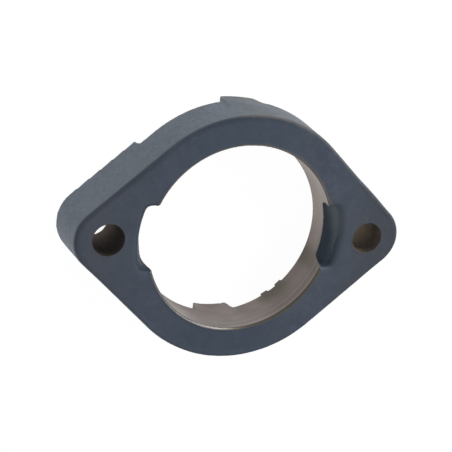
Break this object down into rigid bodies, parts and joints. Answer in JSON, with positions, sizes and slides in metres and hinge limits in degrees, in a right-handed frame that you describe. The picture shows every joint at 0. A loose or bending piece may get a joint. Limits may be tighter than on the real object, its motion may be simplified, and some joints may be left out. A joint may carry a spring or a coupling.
{
  "type": "two-bolt flanged bearing housing",
  "caption": "Rhombic cast iron flange with a machined spherical seat, opposed loading slots and a drilled bolt ear at each end.",
  "frame": {"origin": "on the bore axis, at the mounting plane", "axes": "+Z along the bore axis towards the visible face, +X through the two bolt holes"},
  "size_m": [0.0914, 0.069, 0.0153],
  "materials": {
    "painted_iron": "satin slate blue-grey enamel over cast iron, with the seat and the bolt holes bare machined iron"
  },
  "bodies": {
    "root": {"housing": "painted_iron"}
  },
  "joints": []
}
